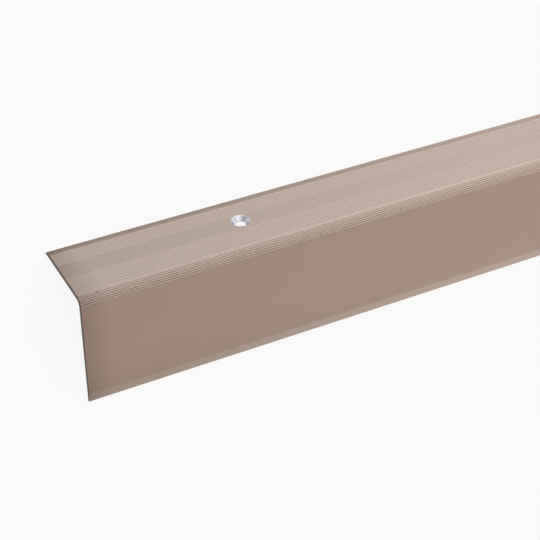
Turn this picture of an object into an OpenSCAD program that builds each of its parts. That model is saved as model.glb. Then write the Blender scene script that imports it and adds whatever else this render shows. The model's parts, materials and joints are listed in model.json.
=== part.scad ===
// Ribbed stair nosing: one length of extruded angle with a ribbed tread, a ribbed nose and countersunk holes.
// Millimetres, +Z up, length along X. It lies nose up on its two thin edges, as it would rest on a floor.

/* [Legs] */
// Length the profile is cut to
bar_length = 1000; // [600:10:2700]
// Tread leg, from the riser's front face to the thin back edge
tread_depth = 52; // [50:0.5:65]
// Riser leg, from the tread's smooth band to the thin bottom edge
riser_height = 70; // [40:1:90]
// Wall of both legs without the ribs
wall = 2.6; // [2.5:0.1:3.4]
// Outer radius of the nose under its ribs
nose_radius = 6; // [5:0.25:7]

/* [Thin edges] */
// Width of the ramp along the tread's back edge
ramp_width = 6.65; // [4:0.05:7.5]
// Wall that the ramp leaves at the back edge
ramp_edge = 0.5; // [0.3:0.1:1.2]
// Height of the bevelled lip along the riser's bottom
lip_height = 6.5; // [4:0.25:9]
// Wall that the lip leaves at the bottom edge
lip_edge = 0.8; // [0.4:0.1:1.5]

/* [Tread ribs] */
// Spacing of the ribs on the tread
rib_pitch = 2.285; // [1.8:0.005:2.35]
// Width of a rib at its foot
rib_width = 1.35; // [0.9:0.05:1.6]
// Height of a rib over the smooth band
rib_height = 0.2; // [0.15:0.05:0.45]
// Ribs between the nose and the smooth band
front_ribs = 7; // [4:1:7]
// First of them, from the riser's front face
front_start = 6.9; // [6.5:0.1:7.4]
// Ribs between the smooth band and the ramp
rear_ribs = 5; // [3:1:5]
// Flat left between the last of them and the ramp
rear_flat = 0.2; // [0.05:0.05:0.4]

/* [Nose ribs] */
// Ribs around the nose
nose_ribs = 6; // [3:1:6]
// First of them, in degrees around the nose from the top
nose_start = 16.9; // [14:0.1:18]
// Spacing around the nose in degrees
nose_pitch = 11.3; // [10:0.1:12.6]
// Width of a nose rib at its foot
nose_rib_width = 1; // [0.6:0.05:1]
// Height of a nose rib over the nose radius
nose_rib_height = 0.45; // [0.15:0.05:0.5]

/* [Screw holes] */
// Diameter of a screw hole
hole_d = 6.3; // [6:0.1:7.5]
// Diameter of the countersink at the smooth band
sink_d = 11; // [9:0.1:11]
// Line of the holes, from the riser's front face
hole_line = 28.3; // [27:0.1:29]
// Number of holes along the length
hole_count = 4; // [2:1:6]
// First and last hole, from the ends
hole_end = 106; // [40:1:150]

/* [Hidden] */
rear_start = tread_depth - ramp_width - rear_flat - rib_width / 2 - (rear_ribs - 1) * rib_pitch;
sink_depth = (sink_d - hole_d) / 2;
hole_step = (bar_length - 2 * hole_end) / (hole_count - 1);
// Tilt that puts both thin edges on the floor
lean = atan2(riser_height - wall, tread_depth - wall);
foot_drop = tread_depth * sin(lean) + wall * cos(lean);
front_reach = (wall - lip_edge) * cos(lean) - riser_height * sin(lean);
back_reach = tread_depth * cos(lean) - (wall - ramp_edge) * sin(lean);
// Overlap that keeps cutting shapes off shared faces
over = 1;
$fn = 96;

// Radius of a round rib with this width and height.
function rib_radius(width, height) = (width * width / 4 + height * height) / (2 * height);

// The two legs, tread along +x and riser down -y, outer corner at the origin and inner corner filled in.
module legs() {
    polygon([
        [0, 0],
        [tread_depth - ramp_width, 0],
        [tread_depth, ramp_edge - wall],
        [tread_depth, -wall],
        [nose_radius, -wall],
        [nose_radius, -nose_radius],
        [wall, -nose_radius],
        [wall, -riser_height],
        [wall - lip_edge, -riser_height],
        [0, lip_height - riser_height]
    ]);
}

// What the rounded nose takes off the outer corner.
module nose_corner() {
    difference() {
        translate([-over, -nose_radius]) square(nose_radius + over);
        translate([nose_radius, -nose_radius]) circle(r = nose_radius);
    }
}

module bare_section() {
    difference() {
        legs();
        nose_corner();
        translate([nose_radius, -nose_radius]) circle(r = nose_radius - wall);
    }
}

// Runs a shape of the section's plane along the whole bar.
module along_bar() {
    rotate([90, 0, 90]) linear_extrude(height = bar_length, center = true) children();
}

// Round ribs standing on the tread, sunk so that their feet have the given width.
module tread_rib_row(start, count) {
    radius = rib_radius(rib_width, rib_height);
    for (i = [0 : count - 1]) {
        along_bar() translate([start + i * rib_pitch, rib_height - radius]) circle(r = radius);
    }
}

module nose_rib_row() {
    radius = rib_radius(nose_rib_width, nose_rib_height);
    for (i = [0 : nose_ribs - 1]) {
        along_bar()
            translate([nose_radius, -nose_radius])
                rotate(nose_start + i * nose_pitch)
                    translate([0, nose_radius + nose_rib_height - radius]) circle(r = radius);
    }
}

// One countersunk hole, its axis along +Z and the smooth band at z = 0.
module screw_hole() {
    translate([0, 0, -wall - over]) cylinder(d = hole_d, h = wall + 2 * over);
    translate([0, 0, -sink_depth]) cylinder(d1 = hole_d, d2 = sink_d + 2 * over, h = sink_depth + over);
}

module nosing_profile() {
    color([0.71, 0.63, 0.57])
        translate([0, -(front_reach + back_reach) / 2, foot_drop])
            rotate([-lean, 0, 0])
                difference() {
                    union() {
                        along_bar() bare_section();
                        tread_rib_row(front_start, front_ribs);
                        tread_rib_row(rear_start, rear_ribs);
                        nose_rib_row();
                    }
                    for (i = [0 : hole_count - 1]) {
                        translate([hole_end - bar_length / 2 + i * hole_step, hole_line, 0]) screw_hole();
                    }
                }
}

nosing_profile();
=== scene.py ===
import json
import math

import bmesh
import bpy
from mathutils import Matrix, Vector


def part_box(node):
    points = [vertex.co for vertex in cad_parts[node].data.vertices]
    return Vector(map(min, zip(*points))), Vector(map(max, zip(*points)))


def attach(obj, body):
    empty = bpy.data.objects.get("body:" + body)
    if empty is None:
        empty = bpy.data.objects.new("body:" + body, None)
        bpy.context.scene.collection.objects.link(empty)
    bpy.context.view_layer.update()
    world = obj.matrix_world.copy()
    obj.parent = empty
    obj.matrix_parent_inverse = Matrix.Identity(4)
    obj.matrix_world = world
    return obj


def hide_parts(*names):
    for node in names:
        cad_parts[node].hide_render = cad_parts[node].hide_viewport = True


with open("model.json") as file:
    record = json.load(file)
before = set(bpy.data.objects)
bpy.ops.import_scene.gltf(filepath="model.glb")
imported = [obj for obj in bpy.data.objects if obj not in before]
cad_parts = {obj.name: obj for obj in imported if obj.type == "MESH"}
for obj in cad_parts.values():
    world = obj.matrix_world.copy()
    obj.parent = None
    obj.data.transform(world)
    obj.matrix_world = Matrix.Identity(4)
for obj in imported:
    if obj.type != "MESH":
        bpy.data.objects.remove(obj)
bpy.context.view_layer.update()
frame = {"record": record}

MM = 0.001
NODE = "nosing_profile"

# The section in millimetres, as it is fitted on a stair: y runs back from the riser's face, z up from the
# smooth band of the tread, and x along the bar from its middle.
TREAD_DEPTH = 52.0
RISER_HEIGHT = 70.0
WALL = 2.6
NOSE_RADIUS = 6.0
RAMP_WIDTH = 6.65
RAMP_EDGE = 0.5
LIP_HEIGHT = 6.5
LIP_EDGE = 0.8

# The grip ribs, round beads that the die leaves standing on the tread. The photo shows them only as faint
# lines, so they are drawn flatter than in the CAD part.
RIB_PITCH = 2.285
RIB_WIDTH = 1.35
RIB_HEIGHT = 0.06
FRONT_RIBS = 7
FRONT_START = 6.9
REAR_RIBS = 5
REAR_FLAT = 0.2

# The ribs round the nose, set by degrees forward of the tread's upright, and a little flatter too.
NOSE_RIBS = 6
NOSE_START = 16.9
NOSE_PITCH = 11.3
NOSE_PLAIN = NOSE_START / 3
NOSE_RIB_WIDTH = 1.0
NOSE_RIB_HEIGHT = 0.42

# The countersunk screw holes, with the broken edge of the countersink. Where they are comes from the record.
HOLE_LINE = 28.3
SINK_D = 11.0
SINK_RIM = 0.06

# Roundings that are too fine for the CAD part. The blend into the lip is wide, but it turns only a little.
RIB_FOOT = 0.6
NOSE_FOOT = 0.08
LIP_BLEND = 5.0
RAMP_CREASE = 0.1
EDGE_ROUND = 0.15
SAW_BREAK = 0.12

# Painted light and shade near the near end, as a share of the colour: 1 on a tread rib's top, 0 on the plain
# faces. The rib rows and the lip are painted lighter; below 0, just above the lip, the riser is painted
# darker as shade, which fades out over the band of the last value.
GROOVE_LIGHT = 0.6
LIP_LIGHT = 1.7
ABOVE_LIP_SHADE = -0.8
SHADE_BAND = 24.0

# How much of the ramp's painted light and shade the lip takes, as a share, and how far past the crease the
# ramp's painted light and shade begins.
LIP_SLANT = 0.8
RAMP_SHADE_START = 0.03

# How finely the round forms are drawn, and how far apart the rows along the bar stand. Points of the outline
# that are closer than the last value are one point.
BEAD_STEPS = 8
FOOT_STEPS = 3
EDGE_STEPS = 4
BLEND_STEPS = 6
PLAIN_STEPS = 2
CORNER_STEPS = 16
SINK_ROWS = 5
STATION_STEP = 25.0
SAME_POINT = 0.0001

# Half the side of the square round each hole, in which the rows of the mesh turn into rings.
PATCH = 6.0
PATCH_STEPS = 16

# The corners of the section.
NOSE_CENTRE = (NOSE_RADIUS, -NOSE_RADIUS)
RISER_TOP = (0, -NOSE_RADIUS)
LIP_TOP = (0, LIP_HEIGHT - RISER_HEIGHT)
LIP_TIP = (WALL - LIP_EDGE, -RISER_HEIGHT)
RISER_TIP = (WALL, -RISER_HEIGHT)
INNER = (WALL, -WALL)
TREAD_TIP = (TREAD_DEPTH, -WALL)
RAMP_TIP = (TREAD_DEPTH, RAMP_EDGE - WALL)
RAMP_START = TREAD_DEPTH - RAMP_WIDTH
RAMP_TOP = (RAMP_START, 0)
FRONT_END = FRONT_START + (FRONT_RIBS - 1) * RIB_PITCH
REAR_START = RAMP_START - REAR_FLAT - RIB_WIDTH / 2 - (REAR_RIBS - 1) * RIB_PITCH

# The holes and the length, as they were packed.
record = frame["record"]
holes = [mount for mount in record["mounts"] if mount["kind"] == "bore"]
HOLE_XS = [mount["pos_m"][0] / MM for mount in holes]
HOLE_R = holes[0]["dims"]["r_mm"]
node_low, node_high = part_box(NODE)
HALF_BAR = (node_high.x - node_low.x) / MM / 2

# The bar lies nose up on the tips of its two legs, so its section is turned by this angle.
LEAN = math.atan2(RISER_HEIGHT - WALL, TREAD_DEPTH - WALL)
LEAN_COS = math.cos(LEAN)
LEAN_SIN = math.sin(LEAN)


def lying(y, z):
    """A direction or offset of the fitted section, turned as the bar lies on the floor."""
    return y * LEAN_COS + z * LEAN_SIN, z * LEAN_COS - y * LEAN_SIN


# What brings the tips down to the floor, and the bar's middle to the origin.
REST_Z = -lying(*TREAD_TIP)[1]
REST_Y = -(lying(*LIP_TIP)[0] + lying(*RAMP_TIP)[0]) / 2


def place(x, y, z):
    """A point of the bar as fitted, in millimetres, put where it lies in the row frame, in metres."""
    across, up = lying(y, z)
    return Vector((x, across + REST_Y, up + REST_Z)) * MM


def colour(code):
    """An sRGB hex value as linear red, green, blue and alpha, by the standard sRGB curve."""
    parts = [int(code[i:i + 2], 16) / 255 for i in (1, 3, 5)]
    return [p / 12.92 if p <= 0.04045 else ((p + 0.055) / 1.055) ** 2.4 for p in parts] + [1.0]


def node(tree, kind, settings, inputs):
    """Adds a node, sets its properties, and fills each named or numbered input with a value or a link."""
    made = tree.nodes.new(kind)
    for name, value in settings.items():
        setattr(made, name, value)
    for key, value in inputs.items():
        if isinstance(value, tuple) and isinstance(value[0], bpy.types.Node):
            tree.links.new(value[0].outputs[value[1]], made.inputs[key])
        else:
            made.inputs[key].default_value = value
    return made


# The section's outline

def heading(start, end):
    """The angle from one point of the section to another, in degrees."""
    return math.degrees(math.atan2(end[1] - start[1], end[0] - start[0]))


def off(centre, angle, distance):
    """The point at that angle and distance from a centre."""
    turn = math.radians(angle)
    return centre[0] + distance * math.cos(turn), centre[1] + distance * math.sin(turn)


def bend(centre, radius, start, end, left, steps):
    """The points of an arc from one angle to another, turning left or right."""
    sweep = (end - start) % 360 if left else -((start - end) % 360)
    return [off(centre, start + sweep * i / steps, radius) for i in range(steps + 1)]


def rounded(before, corner, after, radius, steps):
    """The arc that takes off a corner between the points before and after it."""
    to_before = (Vector(before) - Vector(corner)).normalized()
    to_after = (Vector(after) - Vector(corner)).normalized()
    half = to_before.angle(to_after) / 2
    centre = Vector(corner) + (to_before + to_after).normalized() * radius / math.sin(half)
    first = Vector(corner) + to_before * radius / math.tan(half)
    last = Vector(corner) + to_after * radius / math.tan(half)
    left = to_before.cross(to_after) < 0
    return bend(centre, radius, heading(centre, first), heading(centre, last), left, steps)


def bead_radius(width, height):
    """The radius of a round bead of that width and height above its base."""
    return (width * width / 4 + height * height) / (2 * height)


def rib(bead, radius, feet, foot_radius, downs):
    """One rib: the fillet at its foot, the bead over the top, and the fillet down to the base again."""
    into = heading(feet[0], bead)
    out = heading(feet[1], bead)
    points = bend(feet[0], foot_radius, downs[0], into, True, FOOT_STEPS)
    points += bend(bead, radius, into + 180, out + 180, False, BEAD_STEPS)
    return points + bend(feet[1], foot_radius, out, downs[1], True, FOOT_STEPS)


def tread_rib(y):
    """A rib on the flat of the tread."""
    radius = bead_radius(RIB_WIDTH, RIB_HEIGHT)
    bead = (y, RIB_HEIGHT - radius)
    reach = math.sqrt((radius + RIB_FOOT) ** 2 - (RIB_FOOT - bead[1]) ** 2)
    feet = [(y - reach, RIB_FOOT), (y + reach, RIB_FOOT)]
    return rib(bead, radius, feet, RIB_FOOT, (270, 270))


def nose_rib(angle):
    """A rib on the round of the nose, at that angle forward of the tread's upright."""
    radius = bead_radius(NOSE_RIB_WIDTH, NOSE_RIB_HEIGHT)
    turn = 90 + angle
    bead_out = NOSE_RADIUS + NOSE_RIB_HEIGHT - radius
    foot_out = NOSE_RADIUS + NOSE_FOOT
    reach = radius + NOSE_FOOT
    spread = (foot_out ** 2 + bead_out ** 2 - reach ** 2) / (2 * foot_out * bead_out)
    side = math.degrees(math.acos(spread))
    feet = [off(NOSE_CENTRE, turn + side, foot_out), off(NOSE_CENTRE, turn - side, foot_out)]
    downs = (turn + side + 180, turn - side + 180)
    return rib(off(NOSE_CENTRE, turn, bead_out), radius, feet, NOSE_FOOT, downs)


def section_outline():
    """The outline, from the lip up the riser, over the nose, back along the tread and home inside."""
    patch_ys = [HOLE_LINE - PATCH + 2 * PATCH * i / PATCH_STEPS for i in range(PATCH_STEPS + 1)]

    points = rounded(RISER_TIP, LIP_TIP, LIP_TOP, EDGE_ROUND, EDGE_STEPS)
    points += rounded(LIP_TIP, LIP_TOP, RISER_TOP, LIP_BLEND, BLEND_STEPS)
    points.append((0, LIP_TOP[1] + SHADE_BAND))
    points.append(RISER_TOP)
    for k in reversed(range(NOSE_RIBS)):
        points += nose_rib(NOSE_START + k * NOSE_PITCH)
    points += bend(NOSE_CENTRE, NOSE_RADIUS, 90 + NOSE_PLAIN, 90, False, PLAIN_STEPS)
    for k in range(FRONT_RIBS):
        points += tread_rib(FRONT_START + k * RIB_PITCH)
    points += [(y, 0.0) for y in patch_ys]
    for k in range(REAR_RIBS):
        points += tread_rib(REAR_START + k * RIB_PITCH)
    points += rounded((REAR_START, 0), RAMP_TOP, RAMP_TIP, RAMP_CREASE, EDGE_STEPS)
    points += rounded(RAMP_TOP, RAMP_TIP, TREAD_TIP, EDGE_ROUND, EDGE_STEPS)
    points += rounded(RAMP_TIP, TREAD_TIP, INNER, EDGE_ROUND, EDGE_STEPS)
    points += [(y, -WALL) for y in reversed(patch_ys)]
    points += bend(NOSE_CENTRE, NOSE_RADIUS - WALL, 90, 180, True, CORNER_STEPS)
    points += rounded(INNER, RISER_TIP, LIP_TIP, EDGE_ROUND, EDGE_STEPS)

    befores = points[-1:] + points
    return [point for before, point in zip(befores, points) if math.dist(before, point) > SAME_POINT]


def on_lip(y, z):
    """Whether a point of the outline lies on the lip's bevel at the riser's bottom."""
    return z < LIP_TOP[1] and y < LIP_TIP[0]


def slanted(y, z):
    """How far a point lies on one of the two slanted facets: 1 on the ramp, less on the lip, 0 elsewhere."""
    # The slanted facets get painted shade towards the near end and painted light past it.
    if y > RAMP_START + RAMP_SHADE_START:
        return 1.0
    return LIP_SLANT if on_lip(y, z) else 0.0


def painted_light_share(y, z):
    """The painted light at a point of the outline: 1 on a tread rib's top, 0 on the plain faces."""
    if on_lip(y, z):
        return LIP_LIGHT
    on_riser_face = y < WALL / 2
    if on_riser_face and z < LIP_TOP[1] + SHADE_BAND / 2:
        return ABOVE_LIP_SHADE
    in_front_row = NOSE_RADIUS < y < FRONT_END + RIB_PITCH / 2
    in_rear_row = REAR_START - RIB_PITCH / 2 < y < RAMP_START
    if z > -RIB_HEIGHT and (in_front_row or in_rear_row):
        return GROOVE_LIGHT + (1 - GROOVE_LIGHT) * z / RIB_HEIGHT
    return 0.0


def inset(points, depth):
    """The outline drawn in by a small depth, for the broken edges of the cut ends."""
    drawn = []
    for k, point in enumerate(points):
        run = (Vector(points[(k + 1) % len(points)]) - Vector(points[k - 1])).normalized()
        drawn.append((point[0] + run.y * depth, point[1] - run.x * depth))
    return drawn


def distances(points):
    """How far each point of the outline is from its first, along the outline."""
    runs = [0.0]
    for before, point in zip(points, points[1:]):
        runs.append(runs[-1] + math.dist(before, point))
    return runs


# The bar

# Which material a face of the bar takes.
ANODISED = 0
DRILLED = 1
SAWN = 2

# Edges that turn more than this stay crisp.
SHARP_DEGREES = 28.0


class BarMesh:
    """The bar's mesh while it is made, with what the materials read at each point."""

    def __init__(self):
        self.bm = bmesh.new()
        self.across = self.bm.verts.layers.float.new("across")
        # Shares of painted light and shade: on the rib rows, the lip and above the lip, and on the slanted
        # facets.
        self.painted_light_share = self.bm.verts.layers.float.new("painted_light_share")
        self.depth = self.bm.verts.layers.float.new("depth")
        self.facet = self.bm.verts.layers.float.new("facet")

    def point(self, x, y, z, across, depth=0.0):
        """A point, with its distance along the outline and its depth in a hole, in millimetres."""
        made = self.bm.verts.new(place(x, y, z))
        made[self.across] = across
        # The point's shares of painted light and shade.
        made[self.painted_light_share] = painted_light_share(y, z)
        made[self.depth] = depth
        made[self.facet] = slanted(y, z)
        return made

    def face(self, corners, finish):
        """A face that takes one of the bar's materials."""
        made = self.bm.faces.new(corners)
        made.material_index = finish
        made.smooth = True

    def band(self, outer, inner, finish):
        """A closed ring of faces between two loops of points."""
        for k in range(len(outer)):
            n = (k + 1) % len(outer)
            self.face((outer[k], outer[n], inner[n], inner[k]), finish)

    def as_object(self, name):
        """The finished mesh as an object whose flats look flat and whose crisp edges stay so."""
        self.bm.normal_update()
        for edge in self.bm.edges:
            edge.smooth = edge.calc_face_angle(0.0) < math.radians(SHARP_DEGREES)
        data = bpy.data.meshes.new(name)
        self.bm.to_mesh(data)
        self.bm.free()
        made = bpy.data.objects.new(name, data)
        bpy.context.scene.collection.objects.link(made)
        flats = made.modifiers.new("flats_stay_flat", "WEIGHTED_NORMAL")
        flats.keep_sharp = True
        return made


def cross_rows():
    """Where the rows of points stand along the bar, and the row at which each hole's square begins."""
    stops = [SAW_BREAK - HALF_BAR]
    for x in HOLE_XS:
        stops += [x - PATCH, x + PATCH]
    stops.append(HALF_BAR - SAW_BREAK)
    rows = [stops[0]]
    first_rows = []
    for k, (start, end) in enumerate(zip(stops, stops[1:])):
        at_hole = k % 2 == 1
        steps = PATCH_STEPS if at_hole else math.ceil((end - start) / STATION_STEP)
        if at_hole:
            first_rows.append(len(rows) - 1)
        rows += [start + (end - start) * i / steps for i in range(1, steps + 1)]
    return rows, first_rows


def square_loop(grid, row, columns):
    """The points round a hole's square, from its first corner along the bar and round."""
    last = PATCH_STEPS
    loop = [grid[row + i][columns[0]] for i in range(last)]
    loop += [grid[row + last][columns[i]] for i in range(last)]
    loop += [grid[row + i][columns[last]] for i in range(last, 0, -1)]
    return loop + [grid[row][columns[i]] for i in range(last, 0, -1)]


def square_angles():
    """The angle of each point of that loop about the hole's middle."""
    side = [2 * i / PATCH_STEPS - 1 for i in range(PATCH_STEPS)]
    corners = [(s, -1) for s in side] + [(1, s) for s in side]
    corners += [(-s, 1) for s in side] + [(-1, -s) for s in side]
    return [math.atan2(y, x) for x, y in corners]


def sink_hole(mesh, x, top, under, top_across, under_across):
    """A drilled and countersunk hole, from its square on the tread to its square underneath."""
    angles = square_angles()
    sink_r = SINK_D / 2
    side = [PATCH / max(abs(math.cos(a)), abs(math.sin(a))) for a in angles]

    def loop(radii, z, across_at, depth=0.0):
        made = []
        for a, r in zip(angles, radii):
            y = r * math.sin(a)
            made.append(mesh.point(x + r * math.cos(a), HOLE_LINE + y, z, across_at(y), depth))
        return made

    def on_top(y):
        return top_across + y

    def on_under(y):
        return under_across - y

    rim = [sink_r + SINK_RIM] * len(angles)
    bore = [HOLE_R] * len(angles)
    loops = [(top, ANODISED)]
    loops.append((loop([(s + rim[0]) / 2 for s in side], 0, on_top), ANODISED))
    loops.append((loop(rim, 0, on_top), DRILLED))
    for k in range(SINK_ROWS + 1):
        z = SINK_RIM + (sink_r - HOLE_R - SINK_RIM) * k / SINK_ROWS
        loops.append((loop([sink_r - z] * len(angles), -z, on_top, z), DRILLED))
    loops.append((loop(bore, -WALL, on_under, WALL), ANODISED))
    loops.append((loop([(s + HOLE_R) / 2 for s in side], -WALL, on_under), ANODISED))
    loops.append((under, ANODISED))
    for (outer, finish), (inner, _) in zip(loops, loops[1:]):
        mesh.band(outer, inner, finish)


def saw_ends(mesh, grid, outline, runs):
    """The two cut ends, each with its broken edge."""
    drawn_in = inset(outline, SAW_BREAK)
    for x, row in ((-HALF_BAR, grid[0]), (HALF_BAR, grid[-1])):
        rim = [mesh.point(x, y, z, runs[j]) for j, (y, z) in enumerate(drawn_in)]
        if x > 0:
            row = row[::-1]
            rim = rim[::-1]
        mesh.band(row, rim, SAWN)
        mesh.face(rim, SAWN)


def nosing_bar():
    """The whole bar: the fine section drawn out along the length, its screw holes and its cut ends."""
    outline = section_outline()
    count = len(outline)
    runs = distances(outline)
    top_first = outline.index((HOLE_LINE - PATCH, 0.0))
    under_first = outline.index((HOLE_LINE + PATCH, -WALL))
    top_columns = list(range(top_first, top_first + PATCH_STEPS + 1))
    under_columns = list(range(under_first + PATCH_STEPS, under_first - 1, -1))
    inside = set(top_columns[1:-1] + under_columns[1:-1])
    gap_columns = set(top_columns[:-1] + under_columns[1:])

    rows, first_rows = cross_rows()
    drilled_rows = {f + i for f in first_rows for i in range(1, PATCH_STEPS)}
    drilled_gaps = {f + i for f in first_rows for i in range(PATCH_STEPS)}

    mesh = BarMesh()
    grid = []
    for i, x in enumerate(rows):
        row = []
        for j, (y, z) in enumerate(outline):
            left_out = i in drilled_rows and j in inside
            row.append(None if left_out else mesh.point(x, y, z, runs[j]))
        grid.append(row)
    for i in range(len(rows) - 1):
        for j in range(count):
            if i in drilled_gaps and j in gap_columns:
                continue
            n = (j + 1) % count
            mesh.face((grid[i][j], grid[i + 1][j], grid[i + 1][n], grid[i][n]), ANODISED)
    for x, row in zip(HOLE_XS, first_rows):
        top = square_loop(grid, row, top_columns)
        under = square_loop(grid, row, under_columns)
        middle = PATCH_STEPS // 2
        sink_hole(mesh, x, top, under, runs[top_columns[middle]], runs[under_columns[middle]])
    saw_ends(mesh, grid, outline, runs)
    return mesh.as_object("nosing_bar")


# Materials

# Sizes of the patterns, in millimetres. Die lines are about 0.1 wide and the etched grain about 0.05: both
# are drawn coarser here, so that they show at all. Saw scores and tool rings are near their real spacing.
DIE_LINE_WIDTH = 0.5
DIE_LINE_LENGTH = 260.0
ETCH_GRAIN = 0.45
SAW_SCORE = 0.35
TOOL_RING = 0.3

# How deep the relief of the patterns is, in millimetres, and the shares of it in the bronze film.
RELIEF = 0.006
SAW_RELIEF = 3 * RELIEF
GRAIN_RELIEF = 0.4
LINE_RELIEF = 1.5

# The bronze film's colours: where the dye is deepest, where it is least, in the knocks, and at a slant.
DEEP_BRONZE = "#9A8B82"
PALE_BRONZE = "#D8C7BC"
KNOCKED_BRONZE = "#94867C"
SLANT_BRONZE = "#CBBFB6"

# The film's tone, from 0 for the deep colour to 1 for the light one: what it is past the run of painted
# shade, and what each cause adds to it. The near end's painted shade comes in over the run, deepest on the
# ramp, and painted shade comes in beside each cut end. The slanted facets are painted lighter past the run.
# Die lines and grain are the film's own.
SHADE_RUN = 280.0
END_SHADE = 16.0
FAR_TONE = 0.66
FAR_RAMP_LIGHT = 0.21
NEAR_SHADE = -0.37
NEAR_RAMP_SHADE = -0.54
NEAR_LIGHT = 0.14
CUT_SHADE = -0.285
LINE_TONE = 0.12
GRAIN_TONE = 0.08

# How rough each metal is, and how much its pattern adds.
FILM_ROUGH = 0.38
LINE_ROUGH = 0.08
GRAIN_ROUGH = 0.03
DRILLED_ROUGH = 0.18
RING_ROUGH = 0.12
SAWN_ROUGH = 0.4
SCORE_ROUGH = 0.2

# The other metals' colours, from the low to the high of their patterns.
DRILLED_LOW = "#C4C7D0"
DRILLED_HIGH = "#E0E2E8"
# The sawn ends' dark browns are painted shade.
SAWN_SHADE_LOW = "#4E443D"
SAWN_SHADE_HIGH = "#685C54"

# The saw's scores cross the end at a slant: this is how much they fall for each millimetre across.
SAW_SLANT = 0.5

# Two small knocks near the end, in millimetres: a nick in the first groove of the nose, and a pit on the
# riser. Each is deepest over the inner third of its reach.
NICK_FROM_END = 10.9
NICK_TURN = math.radians(23.0)
NICK_Y = NOSE_RADIUS * (1 - math.sin(NICK_TURN))
NICK_Z = NOSE_RADIUS * (math.cos(NICK_TURN) - 1)
NICK_REACH = 1.0
PIT_FROM_END = 5.1
PIT_Z = -40.4
PIT_REACH = 0.6
NICK = place(NICK_FROM_END - HALF_BAR, NICK_Y, NICK_Z)
PIT = place(PIT_FROM_END - HALF_BAR, 0.0, PIT_Z)
KNOCK_DEPTH = 0.02
KNOCK_FLOOR = 1 / 3

# The sockets of a Mix node that mixes colours.
SHARE = 0
FIRST = 6
SECOND = 7
MIXED = 2


def metal(name):
    """A new metal, with its nodes and its shell."""
    made = bpy.data.materials.new(name)
    made.use_nodes = True
    tree = made.node_tree
    tree.nodes.clear()
    shell = node(tree, "ShaderNodeBsdfPrincipled", {}, {"Metallic": 1.0})
    node(tree, "ShaderNodeOutputMaterial", {}, {"Surface": (shell, "BSDF")})
    return made, tree, shell


def dress(tree, shell, tone, rough, height, relief):
    """Gives a metal's shell its colour, its roughness and a relief of that depth in millimetres."""
    bump = node(tree, "ShaderNodeBump", {}, {"Distance": relief * MM, "Height": (height, 0)})
    tree.links.new(tone.outputs[MIXED], shell.inputs["Base Color"])
    tree.links.new(rough.outputs[0], shell.inputs["Roughness"])
    tree.links.new(bump.outputs[0], shell.inputs["Normal"])


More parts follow.
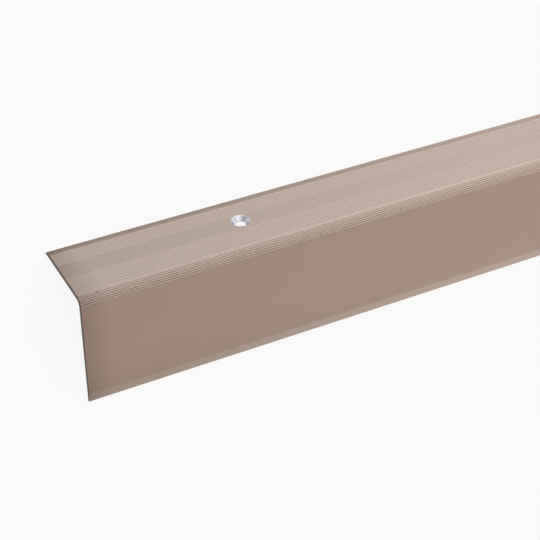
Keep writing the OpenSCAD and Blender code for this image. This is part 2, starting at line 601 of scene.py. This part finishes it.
def bronze_anodised():
    """Light bronze anodised aluminium. Pressed through a die, etched satin and dyed in its oxide film, it
    gives a soft sheen with faint lines along the bar. Towards the near end it is painted darker as shade,
    most of all on the ramp and just above the lip and less on the tread's ribs and the lip, and it is
    painted darker as shade beside the cut ends. The film takes more of the light that meets it at a slant,
    and two small knocks show darker."""
    made, tree, shell = metal("light bronze anodised aluminium")
    shell.inputs["Specular Tint"].default_value = colour(SLANT_BRONZE)
    spot = node(tree, "ShaderNodeTexCoord", {}, {})
    parts = node(tree, "ShaderNodeSeparateXYZ", {}, {"Vector": (spot, "Object")})
    across = node(tree, "ShaderNodeAttribute", {"attribute_name": "across"}, {})
    # Shares of painted light and shade from the mesh: near the near end, and on the slanted facets.
    light_share = node(tree, "ShaderNodeAttribute", {"attribute_name": "painted_light_share"}, {})
    facet = node(tree, "ShaderNodeAttribute", {"attribute_name": "facet"}, {})

    along = node(tree, "ShaderNodeMath", {"operation": "DIVIDE"}, {
        0: (parts, "X"), 1: DIE_LINE_LENGTH * MM})
    aside = node(tree, "ShaderNodeMath", {"operation": "DIVIDE"}, {
        0: (across, "Fac"), 1: DIE_LINE_WIDTH})
    drawn = node(tree, "ShaderNodeCombineXYZ", {}, {"X": (along, 0), "Y": (aside, 0)})
    lines = node(tree, "ShaderNodeTexNoise", {"noise_dimensions": "2D"}, {
        "Vector": (drawn, 0), "Scale": 1.0, "Detail": 3.0, "Roughness": 0.6})
    grain = node(tree, "ShaderNodeTexNoise", {}, {
        "Vector": (spot, "Object"), "Scale": 1 / (ETCH_GRAIN * MM), "Detail": 2.0, "Roughness": 0.6})

    # Painted shade: the film darkens towards the near end over the run.
    near = node(tree, "ShaderNodeMapRange", {}, {
        "Value": (parts, "X"), "From Min": (SHADE_RUN - HALF_BAR) * MM, "From Max": -HALF_BAR * MM})
    # Painted shade beside each cut end.
    either_way = node(tree, "ShaderNodeMath", {"operation": "ABSOLUTE"}, {0: (parts, "X")})
    cut = node(tree, "ShaderNodeMapRange", {}, {
        "Value": (either_way, 0), "From Min": (HALF_BAR - END_SHADE) * MM, "From Max": HALF_BAR * MM})
    # Painted light and shade near the near end: the rib rows and the lip lighter, the riser above the lip
    # darker.
    near_light_share = node(tree, "ShaderNodeMath", {"operation": "MULTIPLY"}, {0: (light_share, "Fac"), 1: (near, 0)})
    # The near end's painted shade, deepest on the slanted facets.
    near_shade = node(tree, "ShaderNodeMath", {"operation": "MULTIPLY_ADD"}, {
        0: (facet, "Fac"), 1: NEAR_RAMP_SHADE, 2: NEAR_SHADE})
    painted_light_and_grain = node(tree, "ShaderNodeMath", {"operation": "MULTIPLY_ADD"}, {
        0: (near, 0), 1: (near_shade, 0), 2: FAR_TONE})
    # Painted light on the slanted facets, the film's own die lines and grain, the painted shade beside the
    # cut ends, and the painted light and shade near the near end.
    causes = ((facet, "Fac", FAR_RAMP_LIGHT), (lines, 0, LINE_TONE), (grain, 0, GRAIN_TONE),
              (cut, 0, CUT_SHADE), (near_light_share, 0, NEAR_LIGHT))
    for cause, socket, tone_share in causes:
        painted_light_and_grain = node(tree, "ShaderNodeMath", {"operation": "MULTIPLY_ADD"}, {
            0: (cause, socket), 1: tone_share, 2: (painted_light_and_grain, 0)})
    tone = node(tree, "ShaderNodeMix", {"data_type": "RGBA"}, {
        SHARE: (painted_light_and_grain, 0), FIRST: colour(DEEP_BRONZE), SECOND: colour(PALE_BRONZE)})

    height = node(tree, "ShaderNodeMath", {"operation": "MULTIPLY"}, {0: (grain, 0), 1: GRAIN_RELIEF})
    height = node(tree, "ShaderNodeMath", {"operation": "MULTIPLY_ADD"}, {
        0: (lines, 0), 1: LINE_RELIEF, 2: (height, 0)})
    for centre, reach in ((NICK, NICK_REACH), (PIT, PIT_REACH)):
        away = node(tree, "ShaderNodeVectorMath", {"operation": "DISTANCE"}, {
            0: (spot, "Object"), 1: centre})
        knock = node(tree, "ShaderNodeMapRange", {"interpolation_type": "SMOOTHSTEP"}, {
            "Value": (away, "Value"), "From Min": reach * MM, "From Max": reach * MM * KNOCK_FLOOR})
        tone = node(tree, "ShaderNodeMix", {"data_type": "RGBA"}, {
            SHARE: (knock, 0), FIRST: (tone, MIXED), SECOND: colour(KNOCKED_BRONZE)})
        height = node(tree, "ShaderNodeMath", {"operation": "MULTIPLY_ADD"}, {
            0: (knock, 0), 1: -KNOCK_DEPTH / RELIEF, 2: (height, 0)})

    rough = node(tree, "ShaderNodeMath", {"operation": "MULTIPLY_ADD"}, {
        0: (lines, 0), 1: LINE_ROUGH, 2: FILM_ROUGH})
    rough = node(tree, "ShaderNodeMath", {"operation": "MULTIPLY_ADD"}, {
        0: (grain, 0), 1: GRAIN_ROUGH, 2: (rough, 0)})
    dress(tree, shell, tone, rough, height, RELIEF)
    return made


def drilled_aluminium():
    """Bare aluminium where the drill and the countersink cut through the film: bright, with fine rings."""
    made, tree, shell = metal("drilled bare aluminium")
    depth = node(tree, "ShaderNodeAttribute", {"attribute_name": "depth"}, {})
    turns = node(tree, "ShaderNodeMath", {"operation": "DIVIDE"}, {0: (depth, "Fac"), 1: TOOL_RING})
    rings = node(tree, "ShaderNodeTexNoise", {"noise_dimensions": "1D"}, {
        "W": (turns, 0), "Scale": 1.0, "Detail": 2.0, "Roughness": 0.6})
    tone = node(tree, "ShaderNodeMix", {"data_type": "RGBA"}, {
        SHARE: (rings, 0), FIRST: colour(DRILLED_LOW), SECOND: colour(DRILLED_HIGH)})
    rough = node(tree, "ShaderNodeMath", {"operation": "MULTIPLY_ADD"}, {
        0: (rings, 0), 1: RING_ROUGH, 2: DRILLED_ROUGH})
    dress(tree, shell, tone, rough, rings, RELIEF)
    return made


def sawn_end_shaded():
    """The sawn ends: the saw's fine scores leave them dull, and they are painted dark brown as shade,
    darker than the bar's faces.
    """
    made, tree, shell = metal("sawn end with painted shade")
    spot = node(tree, "ShaderNodeTexCoord", {}, {})
    parts = node(tree, "ShaderNodeSeparateXYZ", {}, {"Vector": (spot, "Object")})
    swept = node(tree, "ShaderNodeMath", {"operation": "MULTIPLY_ADD"}, {
        0: (parts, "Y"), 1: SAW_SLANT, 2: (parts, "Z")})
    swept = node(tree, "ShaderNodeMath", {"operation": "DIVIDE"}, {0: (swept, 0), 1: SAW_SCORE * MM})
    scores = node(tree, "ShaderNodeTexNoise", {"noise_dimensions": "1D"}, {
        "W": (swept, 0), "Scale": 1.0, "Detail": 2.0, "Roughness": 0.65})
    tone = node(tree, "ShaderNodeMix", {"data_type": "RGBA"}, {
        SHARE: (scores, 0), FIRST: colour(SAWN_SHADE_LOW), SECOND: colour(SAWN_SHADE_HIGH)})
    rough = node(tree, "ShaderNodeMath", {"operation": "MULTIPLY_ADD"}, {
        0: (scores, 0), 1: SCORE_ROUGH, 2: SAWN_ROUGH})
    dress(tree, shell, tone, rough, scores, SAW_RELIEF)
    return made


bar = nosing_bar()
bar.data.materials.append(bronze_anodised())
bar.data.materials.append(drilled_aluminium())
bar.data.materials.append(sawn_end_shaded())
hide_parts(NODE)
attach(bar, "root")


# The studio: a plain white floor, a soft sky and one dim lamp

# The floor, in metres to each side. Its glow is how much of its white is seen as such, by the camera and in
# the metal, so that it stays white round the bar. The rest takes the shadow.
FLOOR_HALF = 12.0
FLOOR_PAPER = "#D5D5D5"
FLOOR_WHITE = "#FFFFFF"
FLOOR_GLOW = 0.9
FLOOR_GLOW_IN_METAL = 0.63

# The sky's light: an even level, and a belt over the bar that gets stronger from the turn to the back. The
# belt's middle lies towards the near end in front and towards the far end behind. Places on the sky run from
# -1 in front to 1 behind, and from -1 at the near end to 1 at the far end.
SKY_EVEN = 0.475
SKY_FRONT = 0.43
SKY_BACK = 1.25
SKY_TURN = -0.3
SKY_MIDDLE_FRONT = -0.2
SKY_MIDDLE_BACK = 0.4
SKY_FADE = 2.0

# The sky's colour, from the warm front to the white back.
SKY_WARM = "#FFEFE2"
SKY_WHITE = "#FFFFFF"
SKY_WARM_END = -0.9
SKY_WHITE_START = 0.6

# The lamp past the far end, in metres and watts.
LAMP_SPOT = (2.5, 0.3, 0.8)
LAMP_SIZE = 1.4
LAMP_POWER = 6.0

# The camera, fitted to the photo's outline: its turn and dip in degrees, seen from the bar as fitted, its
# place in millimetres from the near end's inner corner, and its lens and sensor in millimetres.
CAMERA_TURN = 27.334
CAMERA_DIP = 35.954
CAMERA_X = -186.57
CAMERA_Y = -576.21
CAMERA_Z = 454.03
CAMERA_LENS = 96.80
CAMERA_SENSOR = 36.0


def studio_floor():
    """A plain white floor that the bar lies on."""
    half = FLOOR_HALF
    data = bpy.data.meshes.new("studio_floor")
    corners = [(-half, -half, 0), (half, -half, 0), (half, half, 0), (-half, half, 0)]
    data.from_pydata(corners, [], [(0, 1, 2, 3)])
    made = bpy.data.objects.new("studio_floor", data)
    bpy.context.scene.collection.objects.link(made)
    paper = bpy.data.materials.new("white studio paper")
    paper.use_nodes = True
    tree = paper.node_tree
    tree.nodes.clear()
    sheet = node(tree, "ShaderNodeBsdfDiffuse", {}, {"Color": colour(FLOOR_PAPER)})
    glow = node(tree, "ShaderNodeEmission", {}, {"Color": colour(FLOOR_WHITE), "Strength": 1.0})
    ray = node(tree, "ShaderNodeLightPath", {}, {})
    clear = node(tree, "ShaderNodeMath", {"operation": "MAXIMUM"}, {
        0: (ray, "Is Camera Ray"), 1: (ray, "Is Transmission Ray")})
    straight = node(tree, "ShaderNodeMath", {"operation": "MULTIPLY"}, {0: (clear, 0), 1: FLOOR_GLOW})
    share = node(tree, "ShaderNodeMath", {"operation": "MULTIPLY_ADD"}, {
        0: (ray, "Is Glossy Ray"), 1: FLOOR_GLOW_IN_METAL, 2: (straight, 0)})
    shell = node(tree, "ShaderNodeMixShader", {}, {
        0: (share, 0), 1: (sheet, "BSDF"), 2: (glow, "Emission")})
    node(tree, "ShaderNodeOutputMaterial", {}, {"Surface": (shell, "Shader")})
    data.materials.append(paper)


def studio_sky():
    """A plain dome that fades towards both ends of the bar, brighter behind and a little warmer in front."""
    world = bpy.data.worlds.new("studio_sky")
    bpy.context.scene.world = world
    world.use_nodes = True
    tree = world.node_tree
    tree.nodes.clear()
    way = node(tree, "ShaderNodeTexCoord", {}, {})
    parts = node(tree, "ShaderNodeSeparateXYZ", {}, {"Vector": (way, "Generated")})
    middle = node(tree, "ShaderNodeMapRange", {}, {
        "Value": (parts, "Y"), "From Min": -1.0, "From Max": 1.0,
        "To Min": SKY_MIDDLE_FRONT, "To Max": SKY_MIDDLE_BACK})
    ends = node(tree, "ShaderNodeMath", {"operation": "SUBTRACT"}, {0: (parts, "X"), 1: (middle, 0)})
    ends = node(tree, "ShaderNodeMath", {"operation": "MULTIPLY"}, {0: (ends, 0), 1: (ends, 0)})
    belt = node(tree, "ShaderNodeMath", {"operation": "SUBTRACT", "use_clamp": True}, {
        0: 1.0, 1: (ends, 0)})
    belt = node(tree, "ShaderNodeMath", {"operation": "POWER"}, {0: (belt, 0), 1: SKY_FADE})
    side = node(tree, "ShaderNodeMapRange", {}, {
        "Value": (parts, "Y"), "From Min": SKY_TURN, "From Max": 1.0,
        "To Min": SKY_FRONT, "To Max": SKY_BACK})
    level = node(tree, "ShaderNodeMath", {"operation": "MULTIPLY_ADD"}, {
        0: (belt, 0), 1: (side, 0), 2: SKY_EVEN})
    warm = node(tree, "ShaderNodeMapRange", {"interpolation_type": "SMOOTHSTEP"}, {
        "Value": (parts, "Y"), "From Min": SKY_WARM_END, "From Max": SKY_WHITE_START})
    tone = node(tree, "ShaderNodeMix", {"data_type": "RGBA"}, {
        SHARE: (warm, 0), FIRST: colour(SKY_WARM), SECOND: colour(SKY_WHITE)})
    shine = node(tree, "ShaderNodeBackground", {}, {"Color": (tone, MIXED), "Strength": (level, 0)})
    node(tree, "ShaderNodeOutputWorld", {}, {"Surface": (shine, "Background")})


def far_end_lamp():
    """A wide, dim soft box past the far end, turned to the bar's middle at the origin."""
    data = bpy.data.lights.new("far_end_lamp", "AREA")
    data.size = LAMP_SIZE
    data.energy = LAMP_POWER
    made = bpy.data.objects.new("far_end_lamp", data)
    bpy.context.scene.collection.objects.link(made)
    made.location = LAMP_SPOT
    made.rotation_euler = Vector(LAMP_SPOT).to_track_quat("Z", "Y").to_euler()


def photo_camera():
    """The camera, placed from the near end's inner corner and turned with the bar from its fitted place."""
    turn_cos = math.cos(math.radians(CAMERA_TURN))
    turn_sin = math.sin(math.radians(CAMERA_TURN))
    dip_cos = math.cos(math.radians(CAMERA_DIP))
    dip_sin = math.sin(math.radians(CAMERA_DIP))
    forward = Vector((turn_sin * dip_cos, *lying(turn_cos * dip_cos, -dip_sin)))
    right = Vector((turn_cos, *lying(-turn_sin, 0)))
    up = right.cross(forward)
    data = bpy.data.cameras.new("photo_camera")
    data.lens = CAMERA_LENS
    data.sensor_width = CAMERA_SENSOR
    made = bpy.data.objects.new("photo_camera", data)
    bpy.context.scene.collection.objects.link(made)
    turned = Matrix((right, up, -forward)).transposed().to_4x4()
    spot = place(CAMERA_X - HALF_BAR, WALL + CAMERA_Y, CAMERA_Z - WALL)
    made.matrix_world = Matrix.Translation(spot) @ turned
    bpy.context.scene.camera = made


studio_floor()
studio_sky()
far_end_lamp()
photo_camera()
bpy.context.scene.view_settings.view_transform = "Standard"

bpy.context.view_layer.update()
